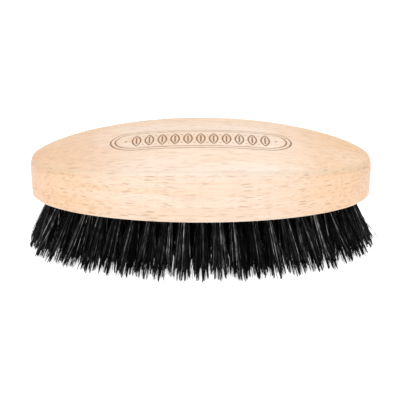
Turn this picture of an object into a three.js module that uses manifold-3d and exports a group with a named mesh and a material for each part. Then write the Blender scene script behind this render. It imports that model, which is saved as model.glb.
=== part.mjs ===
// An oval palm-held beard brush: one domed beech block, drilled with blind holes round its edge and
// in staggered straight rows inside them, and a tuft of black boar bristle set in each hole.
// Millimetres, +Z up. X runs along the brush and Y across it. The origin is under the middle of the
// block, on the plane of the trimmed bristle tips, which is the surface that the brush stands on.
import * as THREE from "three";
import { mergeVertices } from "three/addons/utils/BufferGeometryUtils.js";
import Module from "manifold-3d";

const wasm = await Module();
wasm.setup();

// ---- Driving dimensions ----
const BLOCK_LENGTH = 125;
const BLOCK_WIDTH = 60;
const CREST_THICKNESS = 21.7; // wood thickness at the middle of the dome
const FALL_TO_ENDS = 7.2; // how far the dome drops from its middle to each end
const FALL_TO_SIDES = 2.4; // how far it drops from its middle to each side
const RIM_RADIUS = 2; // rounding between the side wall and the dome
const NOSE_DROP = 1.9; // how much further down the wall the rounding runs at the two noses
const NOSE_TUCK = 1; // how much less it runs in over the dome there
const NOSE_SHARPNESS = 16; // the higher, the closer both are kept to the noses
const FOOT_RADIUS = 1.2; // rounding between the side wall and the underside
const WALL_DRAFT = 0.4; // how far the wall leans in at its foot

const TRIM_LENGTH = 20.5; // height of the underside above the trimmed tips
const HOLE_RADIUS = 1.8;
const HOLE_DEPTH = 8.5;
const END_MARGIN = 8.6; // from the end of the block to the outer holes' centres
const SIDE_MARGIN = 7.6; // from the side of the block to the outer holes' centres
const EDGE_HOLES = 42; // holes in the outer oval
const EDGE_TO_ROWS = 5; // from the outer oval to the smaller oval that holds the straight rows
const ROWS_EACH_SIDE = 3; // straight rows on each side of the middle one
const ROW_SPACING = 5.2; // from one straight row to the next
const ROW_PITCH = 5.8; // hole spacing along a straight row
const SPLAY_ALONG = 0.125; // share by which the tips stand further out than the roots, along X
const SPLAY_ACROSS = 0.214; // the same across Y
const CROSSING_START = 0.35; // share of the free length at which neighbouring tufts run together
const CROSSING_WIDTH = 0.3; // radius of that meeting, as a share of the distance between the tips
const CLEARANCE = 0.3; // gap kept between separate pieces
const UNTRIMMED = 1.25; // free length before trimming, as a share of the length after it

// ---- Resolution of the faceted solids ----
const OVAL_STEPS = 64;
const ROUNDING_STEPS = 3;
const DOME_STEPS = 4;
const TUFT_SIDES = 8;
const SAME_POINT = 1e-4; // points closer than this are one point

const HALF_LENGTH = BLOCK_LENGTH / 2;
const HALF_WIDTH = BLOCK_WIDTH / 2;
const UP = new THREE.Vector3(0, 1, 0); // the axis of three.js cylinders and lathes

// ---- Solids ----

// A closed geometry as a manifold-3d solid.
function solidOf(geometry) {
  const bare = new THREE.BufferGeometry();
  bare.setAttribute("position", geometry.getAttribute("position"));
  bare.setIndex(geometry.index);
  const merged = mergeVertices(bare, SAME_POINT);
  return new wasm.Manifold(
    new wasm.Mesh({
      numProp: 3,
      vertProperties: merged.attributes.position.array,
      triVerts: new Uint32Array(merged.index.array),
    }),
  );
}

// A manifold-3d solid as a geometry.
function geometryOf(solid) {
  const { vertProperties, triVerts } = solid.getMesh();
  const geometry = new THREE.BufferGeometry();
  geometry.setAttribute("position", new THREE.BufferAttribute(vertProperties, 3));
  geometry.setIndex(new THREE.BufferAttribute(triVerts, 1));
  geometry.computeVertexNormals();
  return geometry;
}

// ---- The block ----

// Height of the dome above the underside.
function domeHeight(x, y) {
  return (
    CREST_THICKNESS -
    FALL_TO_ENDS * (x / HALF_LENGTH) ** 2 -
    FALL_TO_SIDES * (y / HALF_WIDTH) ** 2
  );
}

// The point of the oval outline at an angle, moved in by a distance square to the outline.
function outlinePoint(angle, inset) {
  const x = HALF_LENGTH * Math.cos(angle);
  const y = HALF_WIDTH * Math.sin(angle);
  const square = new THREE.Vector2(x / HALF_LENGTH ** 2, y / HALF_WIDTH ** 2).normalize();
  return new THREE.Vector2(x - inset * square.x, y - inset * square.y);
}

// How far the rim's rounding runs in over the dome, at an angle round the oval.
function rimWidth(angle) {
  return RIM_RADIUS - NOSE_TUCK * Math.cos(angle) ** NOSE_SHARPNESS;
}

// How far down the wall it runs.
function rimDepth(angle) {
  return RIM_RADIUS + NOSE_DROP * Math.cos(angle) ** NOSE_SHARPNESS;
}

// The block's section as functions of the angle round the oval, from the underside's middle, round
// the foot, up the wall and over the rim to the crest. Each gives a point above the underside.
function blockSection() {
  const rows = [() => new THREE.Vector3(0, 0, 0)];
  for (let i = 0; i <= ROUNDING_STEPS; i++) {
    const turn = (i / ROUNDING_STEPS) * (Math.PI / 2);
    const inset = WALL_DRAFT + FOOT_RADIUS * (1 - Math.sin(turn));
    const height = FOOT_RADIUS * (1 - Math.cos(turn));
    rows.push((angle) => {
      const p = outlinePoint(angle, inset);
      return new THREE.Vector3(p.x, p.y, height);
    });
  }
  for (let i = 0; i <= ROUNDING_STEPS; i++) {
    const turn = (i / ROUNDING_STEPS) * (Math.PI / 2);
    rows.push((angle) => {
      const p = outlinePoint(angle, rimWidth(angle) * (1 - Math.cos(turn)));
      const drop = rimDepth(angle) * (1 - Math.sin(turn));
      return new THREE.Vector3(p.x, p.y, domeHeight(p.x, p.y) - drop);
    });
  }
  for (let i = 1; i <= DOME_STEPS; i++) {
    const share = 1 - i / DOME_STEPS;
    rows.push((angle) => {
      const p = outlinePoint(angle, rimWidth(angle)).multiplyScalar(share);
      return new THREE.Vector3(p.x, p.y, domeHeight(p.x, p.y));
    });
  }
  return rows;
}

// A lathe gives the topology, and each of its rings is then moved to the oval section.
function blockGeometry() {
  const rows = blockSection();
  const lathe = new THREE.LatheGeometry(
    rows.map((row) => new THREE.Vector2(row(0).x, row(0).z)),
    OVAL_STEPS,
  );
  const position = lathe.getAttribute("position");
  for (let step = 0; step <= OVAL_STEPS; step++) {
    const angle = ((step % OVAL_STEPS) / OVAL_STEPS) * 2 * Math.PI;
    rows.forEach((row, i) => {
      const p = row(angle);
      position.setXYZ(step * rows.length + i, p.x, p.y, TRIM_LENGTH + p.z);
    });
  }
  return lathe;
}

// ---- The tufts ----

// Where a tuft leaves the wood, and where the middle of its trimmed tips is.
function tuftAt(x, y) {
  return {
    root: new THREE.Vector3(x, y, TRIM_LENGTH),
    tip: new THREE.Vector3(x * (1 + SPLAY_ALONG), y * (1 + SPLAY_ACROSS), 0),
  };
}

// The tufts of the outer oval, evenly spaced along it from the middle of the front.
function edgeTufts() {
  const oval = new THREE.EllipseCurve(
    0,
    0,
    HALF_LENGTH - END_MARGIN,
    HALF_WIDTH - SIDE_MARGIN,
    -Math.PI / 2,
    (3 * Math.PI) / 2,
  );
  return oval
    .getSpacedPoints(EDGE_HOLES)
    .slice(0, EDGE_HOLES)
    .map((p) => tuftAt(p.x, p.y));
}

// The tufts of one straight row, counted from the middle row. Every other row is half a pitch over.
function rowOfTufts(line) {
  const y = line * ROW_SPACING;
  const longest = HALF_LENGTH - END_MARGIN - EDGE_TO_ROWS;
  const widest = HALF_WIDTH - SIDE_MARGIN - EDGE_TO_ROWS;
  const reach = longest * Math.sqrt(1 - (y / widest) ** 2);
  const shift = Math.abs(line % 2) / 2;
  const last = Math.floor(reach / ROW_PITCH - shift) + shift;
  const tufts = [];
  for (let place = -last; place <= last; place++) {
    tufts.push(tuftAt(place * ROW_PITCH, y));
  }
  return tufts;
}

// Turns a solid made along the lathe's axis onto a tuft's own line, with its zero at the root.
function setOnTuft(geometry, tuft) {
  const along = tuft.root.clone().sub(tuft.tip).normalize();
  const turn = new THREE.Quaternion().setFromUnitVectors(UP, along);
  return geometry.applyQuaternion(turn).translate(tuft.root.x, tuft.root.y, tuft.root.z);
}

// The drilled hole, with a little extra length so that its mouth is cut clean.
function holeSolid(tuft) {
  const length = HOLE_DEPTH + HOLE_RADIUS;
  const drill = new THREE.CylinderGeometry(HOLE_RADIUS, HOLE_RADIUS, length, TUFT_SIDES);
  drill.translate(0, HOLE_DEPTH - length / 2, 0);
  return solidOf(setOnTuft(drill, tuft));
}

// Half the distance from a tuft's tip to the nearest other, less half the gap between pieces.
function tipRadius(tuft, tufts) {
  const distances = tufts.filter((t) => t !== tuft).map((t) => t.tip.distanceTo(tuft.tip));
  return Math.min(...distances) / 2 - CLEARANCE / 2;
}

// One tuft: straight in its hole, then opening towards its tips, and longer than its trim.
function tuftSolid(tuft, radiusAtTip) {
  const untrimmed = tuft.root.distanceTo(tuft.tip) * UNTRIMMED;
  const rootRadius = HOLE_RADIUS - CLEARANCE;
  const untrimmedRadius = rootRadius + (radiusAtTip - rootRadius) * UNTRIMMED;
  const profile = [
    new THREE.Vector2(0, -untrimmed),
    new THREE.Vector2(untrimmedRadius, -untrimmed),
    new THREE.Vector2(rootRadius, 0),
    new THREE.Vector2(rootRadius, HOLE_DEPTH - CLEARANCE),
    new THREE.Vector2(0, HOLE_DEPTH - CLEARANCE),
  ];
  return solidOf(setOnTuft(new THREE.LatheGeometry(profile, TUFT_SIDES), tuft));
}

// Where the bristles of two neighbours cross: a cone that opens between them towards the tips.
function crossingSolid(a, b) {
  const between = {
    root: a.root.clone().lerp(b.root, 0.5),
    tip: a.tip.clone().lerp(b.tip, 0.5),
  };
  const free = between.root.distanceTo(between.tip);
  const radius = CROSSING_WIDTH * a.tip.distanceTo(b.tip);
  const profile = [
    new THREE.Vector2(0, -free * UNTRIMMED),
    new THREE.Vector2(radius, -free * UNTRIMMED),
    new THREE.Vector2(0, -free * CROSSING_START),
  ];
  return solidOf(setOnTuft(new THREE.LatheGeometry(profile, TUFT_SIDES), between));
}

// Everything below the trimming plane, which every tuft is cut to.
function trimmings() {
  const slab = new THREE.BoxGeometry(2 * BLOCK_LENGTH, 2 * BLOCK_WIDTH, TRIM_LENGTH);
  return solidOf(slab.translate(0, 0, -TRIM_LENGTH / 2));
}

// ---- Pieces ----

function beechBlock(tufts) {
  return wasm.Manifold.difference([solidOf(blockGeometry()), ...tufts.map(holeSolid)]);
}

function edgeTuft(tuft, tufts) {
  return tuftSolid(tuft, tipRadius(tuft, tufts)).subtract(trimmings());
}

// A straight row of tufts, which are one body because their bristles cross near the tips.
function innerRow(row, tufts) {
  const separate = row.map((tuft) => tuftSolid(tuft, tipRadius(tuft, tufts)));
  const crossings = row.slice(1).map((tuft, i) => crossingSolid(row[i], tuft));
  return wasm.Manifold.union([...separate, ...crossings]).subtract(trimmings());
}

// ---- Materials ----

function beechMaterial() {
  return new THREE.MeshStandardMaterial({
    name: "beech",
    color: 0xf4d3b0,
    roughness: 0.55,
    metalness: 0,
  });
}

function bristleMaterial() {
  return new THREE.MeshStandardMaterial({
    name: "bristle",
    color: 0x121110,
    roughness: 0.4,
    metalness: 0,
  });
}

// ---- Assembly ----

function pieceMesh(name, solid, material) {
  const mesh = new THREE.Mesh(geometryOf(solid), material);
  mesh.name = name;
  return mesh;
}

function beardBrush() {
  const brush = new THREE.Group();
  const bristle = bristleMaterial();
  const edge = edgeTufts();
  const rows = [];
  for (let line = -ROWS_EACH_SIDE; line <= ROWS_EACH_SIDE; line++) {
    rows.push(rowOfTufts(line));
  }
  const tufts = [...edge, ...rows.flat()];

  brush.add(pieceMesh("beech_block", beechBlock(tufts), beechMaterial()));
  edge.forEach((tuft, i) => {
    const number = String(i + 1).padStart(2, "0");
    brush.add(pieceMesh(`edge_tuft_${number}`, edgeTuft(tuft, tufts), bristle));
  });
  rows.forEach((row, i) => {
    brush.add(pieceMesh(`inner_row_${i + 1}`, innerRow(row, tufts), bristle));
  });
  return brush;
}

export default beardBrush();
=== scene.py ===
"""The looks of an oval palm-held beard brush: a domed beech block with an engraved band of leaves,
and fanned tufts of black boar bristle, each folded over a wire anchor in its own drilled hole.

Metres, +Z up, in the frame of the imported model: X runs along the brush and the tips rest on Z = 0.
"""

import math

import bmesh
import bpy
import numpy as np
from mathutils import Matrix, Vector


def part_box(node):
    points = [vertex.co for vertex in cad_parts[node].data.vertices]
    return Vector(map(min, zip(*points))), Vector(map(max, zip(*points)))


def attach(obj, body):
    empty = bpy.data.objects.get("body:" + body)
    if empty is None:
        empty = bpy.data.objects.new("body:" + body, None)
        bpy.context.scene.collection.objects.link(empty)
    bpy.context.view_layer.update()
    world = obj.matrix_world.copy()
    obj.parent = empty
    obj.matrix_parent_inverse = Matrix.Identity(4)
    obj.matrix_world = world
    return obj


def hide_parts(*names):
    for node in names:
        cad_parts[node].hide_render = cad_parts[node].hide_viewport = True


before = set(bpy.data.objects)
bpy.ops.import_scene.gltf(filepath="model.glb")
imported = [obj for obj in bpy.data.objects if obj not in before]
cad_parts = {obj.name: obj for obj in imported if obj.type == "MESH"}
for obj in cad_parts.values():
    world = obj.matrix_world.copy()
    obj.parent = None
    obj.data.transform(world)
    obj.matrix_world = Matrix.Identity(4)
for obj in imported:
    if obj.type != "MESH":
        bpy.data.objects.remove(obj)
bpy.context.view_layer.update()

# ---- Sizes ----
MM = 0.001
BLOCK_LOW, BLOCK_HIGH = (np.array(corner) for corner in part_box("beech_block"))
HALF_LENGTH = (BLOCK_HIGH[0] - BLOCK_LOW[0]) / 2
HALF_WIDTH = (BLOCK_HIGH[1] - BLOCK_LOW[1]) / 2
UNDERSIDE = BLOCK_LOW[2]
CREST = BLOCK_HIGH[2]
FALL_TO_ENDS = 7.2 * MM  # how much lower the dome is at its ends than at its crest
FALL_TO_SIDES = 2.4 * MM
RIM_RADIUS = 2 * MM  # of the rounding between the dome and the wall
NOSE_DROP = 1.9 * MM  # how much further that rounding runs down the wall at the two ends
NOSE_TUCK = 1 * MM  # how much less it runs in over the dome there
NOSE_SHARPNESS = 16  # more keeps both to a shorter stretch at the ends
FOOT_RADIUS = 1.2 * MM
WALL_DRAFT = 0.4 * MM  # how far the wall leans in at its foot

HOLE_RADIUS = 1.8 * MM
HOLE_DEPTH = 8.5 * MM
END_MARGIN = 8.6 * MM  # from the block's ends to the outer oval of holes
SIDE_MARGIN = 7.6 * MM
EDGE_HOLES = 42
EDGE_TO_ROWS = 5 * MM  # from the outer oval to the inner rows
ROWS_EACH_SIDE = 3  # of the middle row
ROW_SPACING = 5.2 * MM
ROW_PITCH = 5.8 * MM  # from hole to hole in a row
SPLAY = np.array([0.125, 0.214])  # how much further out tips are than holes, along and across


# ---- Helpers ----

def add_object(name, data):
    item = bpy.data.objects.new(name, data)
    bpy.context.scene.collection.objects.link(item)
    return item


def add_to_object(piece, node_names):
    """Makes a new piece ride on the brush, in the place of the CAD nodes that it stands for."""
    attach(piece, "root")
    if node_names:
        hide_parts(*node_names)


def smoothstep(value):
    value = np.clip(value, 0, 1)
    return value * value * (3 - 2 * value)


def shade_smooth(mesh):
    mesh.polygons.foreach_set("use_smooth", [True] * len(mesh.polygons))


def store_on_points(mesh, name, values):
    """Keeps one number for each point of a mesh, for its material to read."""
    attribute = mesh.attributes.new(name, "FLOAT", "POINT")
    attribute.data.foreach_set("value", values.astype(np.float32))


def mesh_from(shape, name):
    mesh = bpy.data.meshes.new(name)
    shape.to_mesh(mesh)
    shape.free()
    return mesh


def add_bar(shape, sections):
    """Adds a closed bar that runs through sections, each given as a ring of points."""
    rings = [[shape.verts.new(point) for point in section] for section in sections]
    count = len(rings[0])
    for low, high in zip(rings, rings[1:]):
        for i in range(count):
            shape.faces.new((low[i], low[(i + 1) % count], high[(i + 1) % count], high[i]))
    shape.faces.new(rings[0][::-1])
    shape.faces.new(rings[-1])


# ---- Material nodes ----
# Pattern scales are in features per metre along X, Y and Z, and colours are linear.

WAVE_SCALE = (55, 55, 120)
WAVE_LIFT = 3.5 * MM  # of a layer where its noise is 1, though noise mostly stays near 0.5
DASH_CORE = 0.45  # share of a dash, from its middle out, that has its full depth
FAINTEST_DASH = 0.3


class Nodes:
    """A material's node tree, with short ways to add and join its nodes."""

    def __init__(self, name):
        self.material = bpy.data.materials.new(name)
        self.material.use_nodes = True
        self.tree = self.material.node_tree
        self.shader = self.tree.nodes["Principled BSDF"]

    def add(self, kind, **settings):
        node = self.tree.nodes.new(kind)
        for key, value in settings.items():
            setattr(node, key, value)
        return node

    def feed(self, node, values):
        """Links outputs to a node's sockets, or sets plain values on them."""
        for key, value in values.items():
            if isinstance(value, bpy.types.NodeSocket):
                self.tree.links.new(value, node.inputs[key])
            else:
                node.inputs[key].default_value = value
        return node

    def place(self, scale=(1, 1, 1), offset=(0, 0, 0)):
        """Object coordinates times a scale, so that a pattern can be stretched along the grain."""
        coordinates = self.add("ShaderNodeTexCoord").outputs["Object"]
        values = {"Vector": coordinates, "Scale": scale, "Location": offset}
        return self.feed(self.add("ShaderNodeMapping"), values).outputs["Vector"]

    def noise(self, vector, detail, roughness=0.5, distortion=0.0):
        values = {"Vector": vector, "Scale": 1, "Detail": detail, "Roughness": roughness,
                  "Distortion": distortion}
        return self.feed(self.add("ShaderNodeTexNoise"), values).outputs["Fac"]

    def math(self, operation, a, b=0.0):
        return self.feed(self.add("ShaderNodeMath", operation=operation), {0: a, 1: b}).outputs[0]

    def times(self, product, *factors):
        for factor in factors:
            product = self.math("MULTIPLY", product, factor)
        return product

    def remap(self, value, low, high, to_low=0.0, to_high=1.0):
        """Eases from to_low to to_high while the value runs from low to high."""
        node = self.add("ShaderNodeMapRange", interpolation_type="SMOOTHSTEP")
        values = {"Value": value, "From Min": low, "From Max": high, "To Min": to_low,
                  "To Max": to_high}
        return self.feed(node, values).outputs["Result"]

    def mix(self, share, a, b, blend="MIX"):
        node = self.add("ShaderNodeMix", data_type="RGBA", blend_type=blend)
        return self.feed(node, {0: share, 6: a, 7: b}).outputs[2]

    def attribute(self, name):
        return self.add("ShaderNodeAttribute", attribute_name=name).outputs["Fac"]

    def along(self, vector, axis):
        """How far a vector reaches along an axis."""
        return self.feed(self.add("ShaderNodeSeparateXYZ"), {0: vector}).outputs[axis]

    def facing(self, axis):
        """1 where the surface is square to an axis, and 0 where it runs along it."""
        normal = self.add("ShaderNodeTexCoord").outputs["Normal"]
        return self.math("ABSOLUTE", self.along(normal, axis))

    def wavy(self, scale, offset=(0, 0, 0)):
        """Scaled coordinates like place(), with layers that rise and fall by about half a
        millimetre."""
        wave = self.noise(self.place(WAVE_SCALE), detail=1)
        lift = self.feed(self.add("ShaderNodeCombineXYZ"), {"Z": self.times(wave, WAVE_LIFT * scale[2])})
        values = {0: self.place(scale, offset), 1: lift.outputs["Vector"]}
        return self.feed(self.add("ShaderNodeVectorMath", operation="ADD"), values).outputs["Vector"]

    def dashes(self, vector, size, share):
        """Short dashes in a share of the cells of a stretched pattern: from the faintest dash's
        value to 1 inside a dash, and 0 outside."""
        cells = self.feed(self.add("ShaderNodeTexVoronoi"), {"Vector": vector, "Scale": 1})
        split = self.feed(self.add("ShaderNodeSeparateColor"), {"Color": cells.outputs["Color"]})
        inside = self.remap(cells.outputs["Distance"], size, DASH_CORE * size)
        chosen = self.math("LESS_THAN", split.outputs["Red"], share)
        depth = self.remap(split.outputs["Green"], 0, 1, FAINTEST_DASH, 1)
        return self.times(chosen, depth, inside)

    def bump(self, height, distance, strength):
        values = {"Height": height, "Distance": distance, "Strength": strength}
        node = self.feed(self.add("ShaderNodeBump"), values)
        self.feed(self.shader, {"Normal": node.outputs["Normal"]})


# ---- Materials ----

PALE_BAND = (0.79, 0.635, 0.515, 1)
DARK_BAND = (0.765, 0.57, 0.415, 1)
PINK_DRIFT = (0.80, 0.60, 0.495, 1)
FIBRE_STREAK = (0.62, 0.42, 0.28, 1)
# pale rim colour: partly rubbed wood, partly a painted highlight along the crease
RUBBED_EDGE_AND_HIGHLIGHT = (0.87, 0.73, 0.60, 1)
WARM_END = (0.985, 0.86, 0.70, 1)
END_GRAIN = (0.95, 0.92, 0.93, 1)
SMALL_RAY = (0.46, 0.26, 0.12, 1)
LARGE_RAY = (0.41, 0.23, 0.10, 1)
PORE = (0.42, 0.28, 0.17, 1)
SCORCH = (0.23, 0.085, 0.008, 1)
RAYS_ON_DOME = 0.45  # how strong the rays are on the dome, for 1 on the wall

BRISTLE_BLACK = (0.0015, 0.0015, 0.0016, 1)
# the few grey hairs: partly lighter hairs, partly painted glints of light on them
BRISTLE_GREY_AND_GLINT = (0.80, 0.81, 0.83, 1)
GREY_RARITY = 15  # more leaves fewer hairs grey
GREY_BETWEEN_GLINTS = 0.3  # for 1 in the short patches of painted glint along the grey hairs
GREY_AT_TIPS = 0.1  # for 1 well above them
GREY_STARTS = 1 * MM  # height above the trimmed tips
GREY_FULL = 10 * MM

WIRE_DARK = (0.42, 0.41, 0.39, 1)
WIRE_LIGHT = (0.62, 0.61, 0.58, 1)
FLOOR_DARK = (0.95, 0.95, 0.95, 1)
FLOOR_LIGHT = (0.97, 0.97, 0.97, 1)
WHITE = (1, 1, 1, 1)


def beech_material():
    """Pale waxed beech with its grain along X. On the side wall its rays are short brown dashes and
    its growth bands run level; on the dome the same rays are fainter. The ends are warmer,
    the end grain is a little darker, and the rounded edges are pale: partly rubbed wood and
    partly a painted highlight along the crease."""
    m = Nodes("beech")
    drift = m.noise(m.place((14, 40, 40)), detail=2)
    bands = m.noise(m.place((12, 60, 380), (0.3, 0.1, 0.7)), detail=4, distortion=0.6)
    fibres = m.noise(m.wavy((60, 900, 1400)), detail=4, roughness=0.6)
    pores = m.dashes(m.place((1100, 5200, 5200)), size=0.42, share=0.45)
    large_rays = m.dashes(m.wavy((140, 460, 1300), (2, 1, 4)), size=0.42, share=0.6)
    small_rays = m.dashes(m.wavy((300, 1000, 2200), (4, 7, 2)), size=0.42, share=0.5)
    level = m.facing("Z")
    # the rounded rim, painted pale: partly rubbed wood, partly a painted highlight where it catches the
    # light
    rim_rub_and_highlight = m.times(m.remap(level, 0.2, 0.5), m.remap(level, 0.97, 0.8))
    rays_here = m.remap(level, 0.35, 0.95, 1, RAYS_ON_DOME)
    to_end = m.math("ABSOLUTE", m.along(m.place((1 / HALF_LENGTH, 1, 1)), "X"))

    # Each layer over the bands: where it lies, how strong it is, its colour and how it blends.
    layers = [
        (m.remap(drift, 0.40, 0.62), 0.5, PINK_DRIFT, "MIX"),
        (m.remap(fibres, 0.46, 0.72), 0.6, FIBRE_STREAK, "MIX"),
        # pale rim: rubbed wood and a painted highlight
        (rim_rub_and_highlight, 0.75, RUBBED_EDGE_AND_HIGHLIGHT, "MIX"),
        (m.remap(to_end, 0.35, 0.85), 0.9, WARM_END, "MULTIPLY"),
        (m.remap(m.facing("X"), 0.2, 0.95), 1, END_GRAIN, "MULTIPLY"),
        (m.times(rays_here, small_rays), 0.46, SMALL_RAY, "MIX"),
        (m.times(rays_here, large_rays), 0.57, LARGE_RAY, "MIX"),
        (pores, 0.22, PORE, "MIX"),
        (m.attribute("scorch"), 1, SCORCH, "MIX"),
    ]
    colour = m.mix(m.remap(bands, 0.36, 0.64), PALE_BAND, DARK_BAND)
    for where, strength, layer_colour, blend in layers:
        colour = m.mix(m.times(where, strength), colour, layer_colour, blend)

    waxed = m.remap(fibres, 0.3, 0.7, 0.44, 0.58)
    smoother_on_rim = m.times(rim_rub_and_highlight, 0.1)
    m.feed(m.shader, {"Base Color": colour,
                      "Roughness": m.math("SUBTRACT", waxed, smoother_on_rim),
                      "Specular IOR Level": 0.32,
                      "Coat Weight": 0.08,
                      "Coat Roughness": 0.35})
    raised_fibres = m.times(fibres, 0.6)
    sunk_rays = m.times(large_rays, 0.3)
    sunk_pores = m.times(pores, 0.5)
    height = m.math("SUBTRACT", m.math("SUBTRACT", raised_fibres, sunk_rays), sunk_pores)
    m.bump(height, distance=0.06 * MM, strength=0.5)
    return m.material


def bristle_material():
    """Black boar bristle with a low sheen along each hair. A few hairs are grey, partly as lighter
    hairs and partly as painted glints in short patches along them, and darker towards their tips."""
    m = Nodes("bristle")
    few = m.math("POWER", m.attribute("tone"), GREY_RARITY)
    # short patches of painted glint along the grey hairs
    glint_patches = m.noise(m.place((700, 700, 260)), detail=1)
    in_glint_patches = m.remap(glint_patches, 0.42, 0.6, GREY_BETWEEN_GLINTS, 1)
    above_tips = m.remap(m.along(m.place(), "Z"), GREY_STARTS, GREY_FULL, GREY_AT_TIPS, 1)
    grey_and_glint = m.times(few, in_glint_patches, above_tips)
    scales = m.noise(m.place((1500, 1500, 500)), detail=2)
    m.feed(m.shader, {"Base Color": m.mix(grey_and_glint, BRISTLE_BLACK, BRISTLE_GREY_AND_GLINT),
                      "Roughness": m.remap(scales, 0.3, 0.7, 0.26, 0.46),
                      "Specular IOR Level": 0.11})
    m.bump(scales, distance=0.02 * MM, strength=0.4)
    return m.material


def wire_material():
    """Plain drawn steel wire with fine lines along its length."""
    m = Nodes("anchor_wire")
    lines = m.noise(m.place((300, 6000, 6000)), detail=2)
    m.feed(m.shader, {"Base Color": m.mix(lines, WIRE_DARK, WIRE_LIGHT),
                      "Metallic": 1,
                      "Roughness": m.remap(lines, 0.3, 0.7, 0.28, 0.45)})
    m.bump(lines, distance=0.01 * MM, strength=0.5)
    return m.material


def floor_material():
    """Matt white from above, with a little light of its own, so that the gaps between the bristle
    tips stay white. It is clear from below, so that the brush can be seen from there."""
    m = Nodes("floor")
    grain = m.noise(m.place((60, 60, 60)), detail=3)
    m.feed(m.shader, {"Base Color": m.mix(grain, FLOOR_DARK, FLOOR_LIGHT),
                      "Roughness": 0.9,
                      "Specular IOR Level": 0.1,
                      "Emission Color": WHITE,
                      "Emission Strength": 0.75})
    clear = m.add("ShaderNodeBsdfTransparent").outputs["BSDF"]
    from_below = m.add("ShaderNodeNewGeometry").outputs["Backfacing"]
    either = m.feed(m.add("ShaderNodeMixShader"), {0: from_below, 1: m.shader.outputs["BSDF"], 2: clear})
    m.feed(m.tree.nodes["Material Output"], {"Surface": either.outputs["Shader"]})
    return m.material


# ---- Where the tufts are ----

OVAL_SAMPLES = 4001  # points that measure how far it is round the outer oval


def edge_roots():
    """Mouths of the holes of the outer oval, evenly spaced along it from the middle of the front."""
    turn = np.linspace(-0.5 * np.pi, 1.5 * np.pi, OVAL_SAMPLES)
    x = (HALF_LENGTH - END_MARGIN) * np.cos(turn)
    y = (HALF_WIDTH - SIDE_MARGIN) * np.sin(turn)
    run = np.concatenate([[0], np.cumsum(np.hypot(np.diff(x), np.diff(y)))])
    wanted = np.arange(EDGE_HOLES) / EDGE_HOLES * run[-1]
    return np.stack([np.interp(wanted, run, x), np.interp(wanted, run, y)], axis=1)


def row_roots(line):
    """Mouths of the holes of one straight row. Every other row is half a pitch over."""
    y = line * ROW_SPACING
    longest = HALF_LENGTH - END_MARGIN - EDGE_TO_ROWS
    widest = HALF_WIDTH - SIDE_MARGIN - EDGE_TO_ROWS
    reach = longest * math.sqrt(1 - (y / widest) ** 2)
    shift = abs(line) % 2 / 2
    last = math.floor(reach / ROW_PITCH - shift) + shift
    x = np.arange(-last, last + 0.5) * ROW_PITCH
    return np.stack([x, np.full_like(x, y)], axis=1)


def tuft_ends(root):
    """The mouth of a tuft's hole and the middle of its trimmed tips."""
    mouth = np.array([root[0], root[1], UNDERSIDE])
    tip = np.array([*(root * (1 + SPLAY)), 0.0])
    return mouth, tip


def tuft_line(mouth, tip):
    """The direction in which a tuft runs up into its hole, and the turn that +Z makes to it."""
    along = Vector(mouth - tip).normalized()
    return along, Vector((0, 0, 1)).rotation_difference(along)


# ---- The engraved band ----

ORNAMENT_HALF_LENGTH = 33 * MM
ORNAMENT_HALF_WIDTH = 9 * MM
ORNAMENT_DEPTH = 0.35 * MM
STROKE = 0.41 * MM  # half the width of an engraved line
STROKE_STEEPNESS = 1.25  # above 1, a line has a flat bottom
FRAME_GAP = 1.7 * MM  # from the frame's outer line to its inner line
LEAVES = 11
LEAF_PITCH = 4.7 * MM
LEAF_HALF_LENGTH = 5.2 * MM
LEAF_HALF_WIDTH = 1.5 * MM
LEAF_ROW_HALF = LEAVES * LEAF_PITCH / 2
RIB_HALF_LENGTH = 0.6 * LEAF_HALF_LENGTH
BERRY_OUT = 0.8 * LEAF_HALF_LENGTH  # from the middle line of the band
BERRY_RADIUS = 1.3 * STROKE
BUD_GAP = 1.6 * MM  # from the end of the row of leaves
BUD_RADIUS = 2 * STROKE


def stroke(distance, half_width=STROKE):
    """1 on the middle of an engraved line, and 0 beyond its edges."""
    return smoothstep(STROKE_STEEPNESS * (1 - np.abs(distance) / half_width))


def engraving(x, y):
    """How deeply the band of leaves is engraved at a point of the dome, from 0 to 1."""
    straight = ORNAMENT_HALF_LENGTH - ORNAMENT_HALF_WIDTH
    outward = np.hypot(np.maximum(np.abs(x) - straight, 0), y) - ORNAMENT_HALF_WIDTH
    cut = np.maximum(stroke(outward), stroke(outward + FRAME_GAP))

    in_row = np.abs(x) < LEAF_ROW_HALF
    across = (x + LEAF_ROW_HALF) % LEAF_PITCH - LEAF_PITCH / 2
    radius = (LEAF_HALF_WIDTH ** 2 + LEAF_HALF_LENGTH ** 2) / (2 * LEAF_HALF_WIDTH)
    edge = np.hypot(np.abs(across) + radius - LEAF_HALF_WIDTH, y) - radius
    rib = np.hypot(across, np.maximum(np.abs(y) - RIB_HALF_LENGTH, 0))
    cut = np.maximum(cut, in_row * np.maximum(stroke(edge), stroke(rib)))

    between_leaves = np.abs(x) < (LEAVES - 1) / 2 * LEAF_PITCH
    berry = np.hypot(np.abs(across) - LEAF_PITCH / 2, np.abs(y) - BERRY_OUT)
    cut = np.maximum(cut, between_leaves * stroke(berry, BERRY_RADIUS))
    bud = np.hypot(np.abs(x) - LEAF_ROW_HALF - BUD_GAP, y)
    return np.maximum(cut, stroke(bud, BUD_RADIUS))


# ---- The block ----

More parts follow.
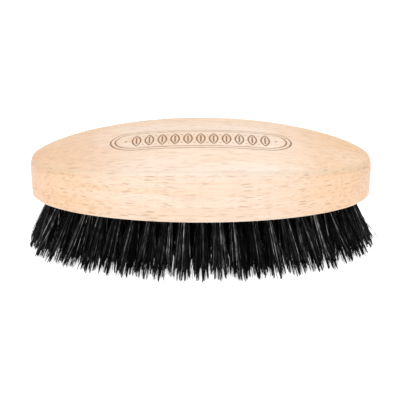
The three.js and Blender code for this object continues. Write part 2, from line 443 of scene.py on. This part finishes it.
BAND_MARGIN = 1 * MM  # past the band's ends, where the columns are still close together
COLUMNS_ON_BAND = 345
COLUMNS_TO_END = 45  # from each end of the block to the band, with the band's own outermost
BAND_SHARE = 0.45  # share of the dome's width, about its middle, with close rows
ROWS_ON_BAND = 127
ROWS_TO_RIM = 17  # from each rim to the close rows, with the outermost of those
RIM_RINGS = 9
WALL_SHARES = (0.25, 0.5, 0.75)  # where the wall has rings, from its top to its foot
FOOT_RINGS = 6
MERGE_DISTANCE = 0.001 * MM
DRILL_SIDES = 24
DRILL_POINT = 1 * MM  # how long the pointed end is
DRILL_END_RADIUS = 0.02 * MM
DRILL_START = -2 * MM  # below the underside
SCORCH_REACH = 2 * ORNAMENT_DEPTH  # how far from the dome a point can be scorched
SHARP_ANGLE = math.radians(50)


def dome_height(x, y):
    return CREST - FALL_TO_ENDS * (x / HALF_LENGTH) ** 2 - FALL_TO_SIDES * (y / HALF_WIDTH) ** 2


def outline(angle, inset):
    """Points of the oval outline, moved in by a distance square to it."""
    x = HALF_LENGTH * np.cos(angle)
    y = HALF_WIDTH * np.sin(angle)
    nx, ny = x / HALF_LENGTH ** 2, y / HALF_WIDTH ** 2
    length = np.hypot(nx, ny)
    return x - inset * nx / length, y - inset * ny / length


def column_angles():
    """Angles round the back half of the oval, from its right end to its left. They are close
    together where the band is engraved."""
    band_end = math.acos((ORNAMENT_HALF_LENGTH + BAND_MARGIN) / HALF_LENGTH)
    on_band = np.arccos(np.linspace(math.cos(band_end), -math.cos(band_end), COLUMNS_ON_BAND))
    to_band = np.linspace(0, band_end, COLUMNS_TO_END)[:-1]
    return np.concatenate([to_band, on_band, np.pi - to_band[::-1]])


def across_shares():
    """Where the rows of the dome's grid lie, from -1 at the front rim to 1 at the back rim."""
    to_band = np.linspace(-1, -BAND_SHARE, ROWS_TO_RIM)[:-1]
    on_band = np.linspace(-BAND_SHARE, BAND_SHARE, ROWS_ON_BAND)
    return np.concatenate([to_band, on_band, -to_band[::-1]])


def rim_width(angles):
    """How far the rim's rounding runs in over the dome."""
    return RIM_RADIUS - NOSE_TUCK * np.cos(angles) ** NOSE_SHARPNESS


def rim_depth(angles):
    """How far the rim's rounding runs down the wall."""
    return RIM_RADIUS + NOSE_DROP * np.cos(angles) ** NOSE_SHARPNESS


def dome_grid(angles):
    x, half = outline(angles, rim_width(angles))
    shares = across_shares()
    grid_x = np.repeat(x[:, None], len(shares), axis=1)
    grid_y = half[:, None] * shares[None, :]
    z = dome_height(grid_x, grid_y) - ORNAMENT_DEPTH * engraving(grid_x, grid_y)
    return np.stack([grid_x, grid_y, z], axis=2)


def side_rings(angles):
    """Rings from the edge of the dome, over the rim, down the wall and round the foot."""
    rings = []
    for turn in np.linspace(np.pi / 2, 0, RIM_RINGS):
        x, y = outline(angles, rim_width(angles) * (1 - math.cos(turn)))
        z = dome_height(x, y) - rim_depth(angles) * (1 - math.sin(turn))
        rings.append(np.stack([x, y, z], axis=1))
    wall_top = rings[-1]
    x, y = outline(angles, WALL_DRAFT)
    wall_foot = np.stack([x, y, np.full_like(x, UNDERSIDE + FOOT_RADIUS)], axis=1)
    for share in WALL_SHARES:
        rings.append(wall_top * (1 - share) + wall_foot * share)
    for turn in np.linspace(np.pi / 2, 0, FOOT_RINGS):
        x, y = outline(angles, WALL_DRAFT + FOOT_RADIUS * (1 - math.sin(turn)))
        height = UNDERSIDE + FOOT_RADIUS * (1 - math.cos(turn))
        rings.append(np.stack([x, y, np.full_like(x, height)], axis=1))
    return rings


def grid_faces(first, columns, rows, closed=False):
    """Quads of a grid whose points are numbered row by row inside each column."""
    faces = []
    for i in range(columns if closed else columns - 1):
        a, b = first + i * rows, first + (i + 1) % columns * rows
        faces += [(a + j, a + j + 1, b + j + 1, b + j) for j in range(rows - 1)]
    return faces


def solid_block():
    back = column_angles()
    round_angles = np.concatenate([back, back[1:-1] + np.pi])
    dome = dome_grid(back)
    sides = np.stack(side_rings(round_angles), axis=1)
    points = np.concatenate([dome.reshape(-1, 3), sides.reshape(-1, 3)])
    faces = grid_faces(0, dome.shape[0], dome.shape[1])
    start = dome.shape[0] * dome.shape[1]
    columns, rows = sides.shape[:2]
    faces += grid_faces(start, columns, rows, closed=True)
    faces.append([start + i * rows + rows - 1 for i in range(columns)])
    mesh = bpy.data.meshes.new("beech_block")
    mesh.from_pydata(points.tolist(), [], faces)
    shape = bmesh.new()
    shape.from_mesh(mesh)
    bmesh.ops.remove_doubles(shape, verts=shape.verts, dist=MERGE_DISTANCE)
    bmesh.ops.recalc_face_normals(shape, faces=shape.faces)
    shape.to_mesh(mesh)
    shape.free()
    return mesh


def add_drill(shape, mouth, tip):
    """Adds one drill to the cutting mesh: a round bar with a pointed end, along a tuft's line."""
    turn = tuft_line(mouth, tip)[1]
    profile = [(HOLE_RADIUS, DRILL_START), (HOLE_RADIUS, HOLE_DEPTH - DRILL_POINT),
               (DRILL_END_RADIUS, HOLE_DEPTH)]
    sections = []
    for radius, height in profile:
        angles = [2 * math.pi * i / DRILL_SIDES for i in range(DRILL_SIDES)]
        circle = [Vector((radius * math.cos(a), radius * math.sin(a), height)) for a in angles]
        sections.append([turn @ point + Vector(mouth) for point in circle])
    add_bar(shape, sections)


def drill_holes(block, roots):
    shape = bmesh.new()
    for root in roots:
        add_drill(shape, *tuft_ends(root))
    drills = add_object("drills", mesh_from(shape, "drills"))
    cut = block.modifiers.new("holes", "BOOLEAN")
    cut.operation = "DIFFERENCE"
    cut.solver = "MANIFOLD"
    cut.object = drills
    evaluated = block.evaluated_get(bpy.context.evaluated_depsgraph_get())
    block.data = bpy.data.meshes.new_from_object(evaluated)
    block.modifiers.clear()
    bpy.data.objects.remove(drills)


def mark_scorch(mesh):
    """Stores how far each point of the dome is engraved, which the scorched colour follows."""
    points = np.empty(len(mesh.vertices) * 3)
    mesh.vertices.foreach_get("co", points)
    x, y, z = points.reshape(-1, 3).T
    on_dome = np.abs(dome_height(x, y) - z) < SCORCH_REACH
    store_on_points(mesh, "scorch", engraving(x, y) * on_dome)


def make_block(roots):
    block = add_object("beech_block_carved", solid_block())
    drill_holes(block, roots)
    mesh = block.data
    mesh.name = "beech_block_carved"
    mark_scorch(mesh)
    mesh.materials.clear()
    mesh.materials.append(beech_material())
    shade_smooth(mesh)
    mesh.set_sharp_from_angle(angle=SHARP_ANGLE)
    add_to_object(block, ["beech_block"])


# ---- The bristles ----

HAIR_RADIUS = 0.1 * MM
HAIR_THICKNESS = (0.75, 1.2)  # from the thinnest to the thickest hair, as shares of that radius
HAIR_SIDES = 3
TAPER_START = 0.7  # share of the free length where a hair begins to taper
TIP_TAPER = 0.6  # radius at a hair's tip, as a share of its radius in the hole
HAIR_SHARES = np.array([0, 0.35, 0.65, 0.82, 0.93, 1])  # of the free length, where a hair has points
POINTS_IN_HAIR = HAIR_SIDES * (1 + len(HAIR_SHARES))  # one ring in the hole and one at each share
HAIRS_IN_EDGE_TUFT = 300
HAIRS_IN_ROW_TUFT = 110
ROOT_RADIUS = 1.7 * MM
ROOT_DEPTH = 0.8 * HOLE_DEPTH  # how far up the hole a hair begins
ROOT_SQUEEZE = 0.6  # how close together hairs are there, for 1 at the hole's mouth
TIP_RADIUS = 3.6 * MM
TIP_SCATTER = 0.25 * MM
UNEVEN = 0.3 * MM  # how far a whole tuft's tips stand from their proper place
RIM_CROWDING = 0.4  # 0 spreads the tips evenly over a tuft, and more crowds them to its outside
OUTER_SPREAD = 2.1  # how much further the hairs of the outer tufts fan out on their free side
NO_OUTER_SPREAD = 1
SPREAD_FROM = 0.4 * TIP_RADIUS  # how far to the inner side of a tuft's middle that begins

GOLDEN_ANGLE = np.pi * (3 - 5 ** 0.5)
CLUMPS = 27  # pointed clumps that the tips of a tuft part into
CLUMP_CROWDING = 0.35  # 0.5 spreads them evenly over the tip, and less crowds them to its outside
CLUMP_SCATTER = 0.7 * MM  # how far they lie from the even spiral
CLUMP_PULL = 0.66  # how far hairs close up into their clump
CLUMP_START = 0.65  # share of the free length where they begin to
CLUMP_POINT = 1.1  # how much shorter a hair is, for its distance from its clump's middle
CLUMP_FLAT = 0.6 * MM  # taken off that, so that the middle of a clump has full length
SHORT_CLUMPS = 0.2  # share of the clumps that end well short of the trim
SHORT_CLUMP_GAP = (0.8 * MM, 3.2 * MM)  # from such a clump to the trim
HAIR_GAP = 0.15 * MM  # from a hair to the trim, on average
TUFT_GAP = 0.3 * MM  # from a tuft to the trim, on average
CLUMP_BOW = 0.2 * MM  # how far the hairs of a clump bow out together between root and tip
HAIR_BOW = 0.14 * MM  # how far each hair bows out for itself

FREE_HAIRS = 0.06  # share that hardly follow their clump
FREE_PULL = 0.1  # share of the pull of other hairs
FREE_GAP = 0.9 * MM  # from such a hair to the trim, on average
STRAY_HAIRS = 0.02  # share that lean well out of the tuft
STRAY_RADIUS = 2.3 * TIP_RADIUS
STRAY_GAP = 5 * MM  # from such a hair to the trim, at most
ROW_SEEDS = 100  # the outer tufts are seeded below this and the inner rows above it


def disc(random, count, radius):
    """Points spread evenly over a disc."""
    angle = random.uniform(0, 2 * np.pi, count)
    out = radius * np.sqrt(random.uniform(0, 1, count))
    return np.stack([out * np.cos(angle), out * np.sin(angle)], axis=1)


def clump_middles(random):
    """Where the clumps of a tuft end: a spiral over its tip, crowded to its outside."""
    number = np.arange(CLUMPS) + 0.5
    angle = number * GOLDEN_ANGLE + random.uniform(0, 2 * np.pi)
    out = TIP_RADIUS * (number / CLUMPS) ** CLUMP_CROWDING
    spot = np.stack([out * np.cos(angle), out * np.sin(angle)], axis=1)
    return spot + random.normal(0, CLUMP_SCATTER, spot.shape)


def fan_out(points, root, outer_spread):
    """Stretches points that lie about a tuft's tip, on the side away from the brush's middle. The
    tufts of the long sides fan out by the whole share, and those of the noses don't."""
    outward = root / np.array([HALF_LENGTH, HALF_WIDTH]) ** 2
    outward /= np.linalg.norm(outward) + 1e-9  # the tuft in the middle of the brush has no outside
    reach = np.maximum(points @ outward + SPREAD_FROM, 0)
    return points + np.outer(reach * (outer_spread - 1) * outward[1] ** 2, outward)


def hair_tips(random, root, start, outer_spread):
    """For each hair of a tuft: where it ends about the tuft's tip, how far its clump pulls it from
    there, how high above the trim it ends, and the number of its clump."""
    count = len(start)
    outness = np.linalg.norm(start, axis=1, keepdims=True) / ROOT_RADIUS
    spread = fan_out(start * (TIP_RADIUS / ROOT_RADIUS) * outness ** -RIM_CROWDING, root, outer_spread)
    spread += random.normal(0, TIP_SCATTER, (count, 2))
    middles = fan_out(clump_middles(random), root, outer_spread)
    to_middles = middles[None] - spread[:, None]
    clump = np.argmin(np.linalg.norm(to_middles, axis=2), axis=1)
    to_clump = to_middles[np.arange(count), clump]
    pull = CLUMP_PULL * to_clump

    clump_gap = random.uniform(*SHORT_CLUMP_GAP, CLUMPS) * (random.uniform(0, 1, CLUMPS) < SHORT_CLUMPS)
    height = CLUMP_POINT * np.linalg.norm(to_clump, axis=1) - CLUMP_FLAT
    height = np.maximum(height, 0) + clump_gap[clump] + random.exponential(HAIR_GAP, count)
    height += random.exponential(TUFT_GAP)

    free = random.uniform(0, 1, count) < FREE_HAIRS
    pull[free] *= FREE_PULL
    height[free] = random.exponential(FREE_GAP, free.sum())
    stray = random.uniform(0, 1, count) < STRAY_HAIRS
    spread[stray] = disc(random, stray.sum(), STRAY_RADIUS)
    pull[stray] = 0
    height[stray] = random.uniform(0, STRAY_GAP, stray.sum())
    return spread, pull, height, clump


def hair_lines(random, root, count, outer_spread):
    """Centre lines of a tuft's hairs, from inside the hole to the trimmed tips."""
    mouth, tip = tuft_ends(root)
    tip[:2] += random.normal(0, UNEVEN, 2)
    start = disc(random, count, ROOT_RADIUS)
    spread, pull, height, clump = hair_tips(random, root, start, outer_spread)
    bow = random.normal(0, CLUMP_BOW, (CLUMPS, 2))[clump] + random.normal(0, HAIR_BOW, (count, 2))

    share = HAIR_SHARES[None, :, None]
    closing = smoothstep((share - CLUMP_START) / (1 - CLUMP_START))
    free_xy = mouth[:2] + (tip - mouth)[:2] * share
    free_xy = free_xy + start[:, None] + (spread - start)[:, None] * share
    free_xy = free_xy + bow[:, None] * np.sin(np.pi * share) + pull[:, None] * closing
    free_z = UNDERSIDE + (height[:, None, None] - UNDERSIDE) * share
    below = np.concatenate([free_xy, np.maximum(free_z, HAIR_RADIUS)], axis=2)

    slope = (mouth - tip)[:2] / (mouth - tip)[2]
    deep_xy = mouth[:2] + slope * ROOT_DEPTH + ROOT_SQUEEZE * start
    deep = np.concatenate([deep_xy, np.full((count, 1), UNDERSIDE + ROOT_DEPTH)], axis=1)
    return np.concatenate([deep[:, None], below], axis=1)


def hair_faces(count):
    """Faces of closed tubes, whose points are numbered ring by ring inside each hair."""
    one_hair = []
    for ring in range(len(HAIR_SHARES)):
        low, high = ring * HAIR_SIDES, (ring + 1) * HAIR_SIDES
        for j in range(HAIR_SIDES):
            k = (j + 1) % HAIR_SIDES
            one_hair.append((low + j, low + k, high + k, high + j))
    one_hair.append(tuple(range(HAIR_SIDES))[::-1])
    one_hair.append(tuple(range(POINTS_IN_HAIR - HAIR_SIDES, POINTS_IN_HAIR)))
    return [tuple(v + i * POINTS_IN_HAIR for v in face) for i in range(count) for face in one_hair]


def hair_points(random, lines):
    """Points of thin tapered tubes along the hairs' centre lines."""
    count = len(lines)
    direction = lines[:, -1] - lines[:, 0]
    direction /= np.linalg.norm(direction, axis=1, keepdims=True)
    side = np.cross(direction, random.normal(0, 1, (count, 3)))
    side /= np.linalg.norm(side, axis=1, keepdims=True)
    other = np.cross(direction, side)
    thickness = HAIR_RADIUS * random.uniform(*HAIR_THICKNESS, count)
    taper = np.interp([0, *HAIR_SHARES], [0, TAPER_START, 1], [1, 1, TIP_TAPER])
    radius = thickness[:, None] * taper[None, :]
    angle = 2 * np.pi * np.arange(HAIR_SIDES) / HAIR_SIDES
    ring = (side[:, None] * np.cos(angle)[None, :, None] + other[:, None] * np.sin(angle)[None, :, None])
    points = lines[:, :, None] + radius[:, :, None, None] * ring[:, None]
    return points.reshape(-1, 3)


def make_tufts(node, roots, hairs_each, outer_spread, seed, material):
    """One piece with the hairs of one or more tufts, in the place of one CAD node."""
    random = np.random.default_rng(seed)
    lines = np.concatenate([hair_lines(random, root, hairs_each, outer_spread) for root in roots])
    name = f"{node}_bristles"
    mesh = bpy.data.meshes.new(name)
    mesh.from_pydata(hair_points(random, lines).tolist(), [], hair_faces(len(lines)))
    shade_smooth(mesh)
    tone = random.uniform(0, 1, len(lines))
    store_on_points(mesh, "tone", np.repeat(tone, POINTS_IN_HAIR))
    mesh.materials.append(material)
    piece = add_object(name, mesh)
    add_to_object(piece, [node])


# ---- The anchors ----

ANCHOR_LENGTH = 3.9 * MM
ANCHOR_WIDTH = 1.6 * MM
ANCHOR_THICKNESS = 0.45 * MM
ANCHOR_UP = HOLE_DEPTH - 1.9 * MM  # from the mouth of the hole
ANCHOR_EDGE_STEPS = 4  # flat steps round each of its rounded edges


def add_anchor(shape, mouth, tip):
    """A short piece of flat wire with rounded edges, across the hole near its bottom."""
    along, turn = tuft_line(mouth, tip)
    middle = Vector(mouth) + along * ANCHOR_UP
    corner = ANCHOR_THICKNESS / 2
    outline_yz = []
    for centre, first in ((ANCHOR_WIDTH / 2 - corner, 0), (-ANCHOR_WIDTH / 2 + corner, math.pi)):
        for i in range(ANCHOR_EDGE_STEPS + 1):
            angle = first + math.pi * i / ANCHOR_EDGE_STEPS
            outline_yz.append((corner * math.cos(angle), centre + corner * math.sin(angle)))
    add_bar(shape, [[turn @ Vector((x, y, z)) + middle for y, z in outline_yz]
                    for x in (-ANCHOR_LENGTH / 2, ANCHOR_LENGTH / 2)])


def make_anchors(roots):
    shape = bmesh.new()
    for root in roots:
        add_anchor(shape, *tuft_ends(root))
    bmesh.ops.recalc_face_normals(shape, faces=shape.faces)
    mesh = mesh_from(shape, "wire_anchors")
    mesh.materials.append(wire_material())
    piece = add_object("wire_anchors", mesh)
    add_to_object(piece, [])


# ---- The stage ----

CAMERA_DISTANCE = 0.9
CAMERA_ELEVATION = math.radians(21.7)
CAMERA_REACH = 20
AIM = Vector((-0.0003, 0, 0.0178))
LENS = 219.5  # millimetres, as is the sensor
SENSOR_WIDTH = 36
FLOOR_HALF = 3.0
WORLD_STRENGTH = 0.33
LIGHTS = {  # name: place, diameter and power in watts
    "key": ((-0.15, -0.7, 1.05), 0.4, 7.6),
    "fill": ((0.8, -0.8, 0.6), 0.6, 0.9),
    "back": ((0.1, 0.8, 1.0), 0.9, 11.0),
}


def make_floor():
    half = FLOOR_HALF
    mesh = bpy.data.meshes.new("floor")
    corners = [(-half, -half, 0), (half, -half, 0), (half, half, 0), (-half, half, 0)]
    mesh.from_pydata(corners, [], [(0, 1, 2, 3)])
    mesh.materials.append(floor_material())
    add_object("floor", mesh)


def make_lights():
    world = bpy.data.worlds.new("studio")
    world.use_nodes = True
    background = world.node_tree.nodes["Background"]
    background.inputs["Color"].default_value = WHITE
    background.inputs["Strength"].default_value = WORLD_STRENGTH
    bpy.context.scene.world = world
    for name, (place, diameter, power) in LIGHTS.items():
        data = bpy.data.lights.new(name, "AREA")
        data.shape = "DISK"
        data.size = diameter
        data.energy = power
        light = add_object(name, data)
        light.location = place
        light.rotation_euler = (AIM - Vector(place)).to_track_quat("-Z", "Y").to_euler()


def make_camera():
    data = bpy.data.cameras.new("camera")
    data.lens = LENS
    data.sensor_width = SENSOR_WIDTH
    data.clip_end = CAMERA_REACH
    camera = add_object("camera", data)
    back = Vector((0, -math.cos(CAMERA_ELEVATION), math.sin(CAMERA_ELEVATION)))
    camera.location = AIM + CAMERA_DISTANCE * back
    camera.rotation_euler = (-back).to_track_quat("-Z", "Y").to_euler()
    bpy.context.scene.camera = camera


# ---- Making ----

make_camera()
make_floor()
make_lights()
bpy.context.scene.view_settings.view_transform = "Standard"

edge = edge_roots()
rows = [row_roots(line) for line in range(-ROWS_EACH_SIDE, ROWS_EACH_SIDE + 1)]
every_root = np.concatenate([edge, *rows])

make_block(every_root)
black = bristle_material()
for number, root in enumerate(edge, start=1):
    make_tufts(f"edge_tuft_{number:02d}", [root], HAIRS_IN_EDGE_TUFT, OUTER_SPREAD, number, black)
for number, roots in enumerate(rows, start=1):
    seed = ROW_SEEDS + number
    make_tufts(f"inner_row_{number}", roots, HAIRS_IN_ROW_TUFT, NO_OUTER_SPREAD, seed, black)
make_anchors(every_root)
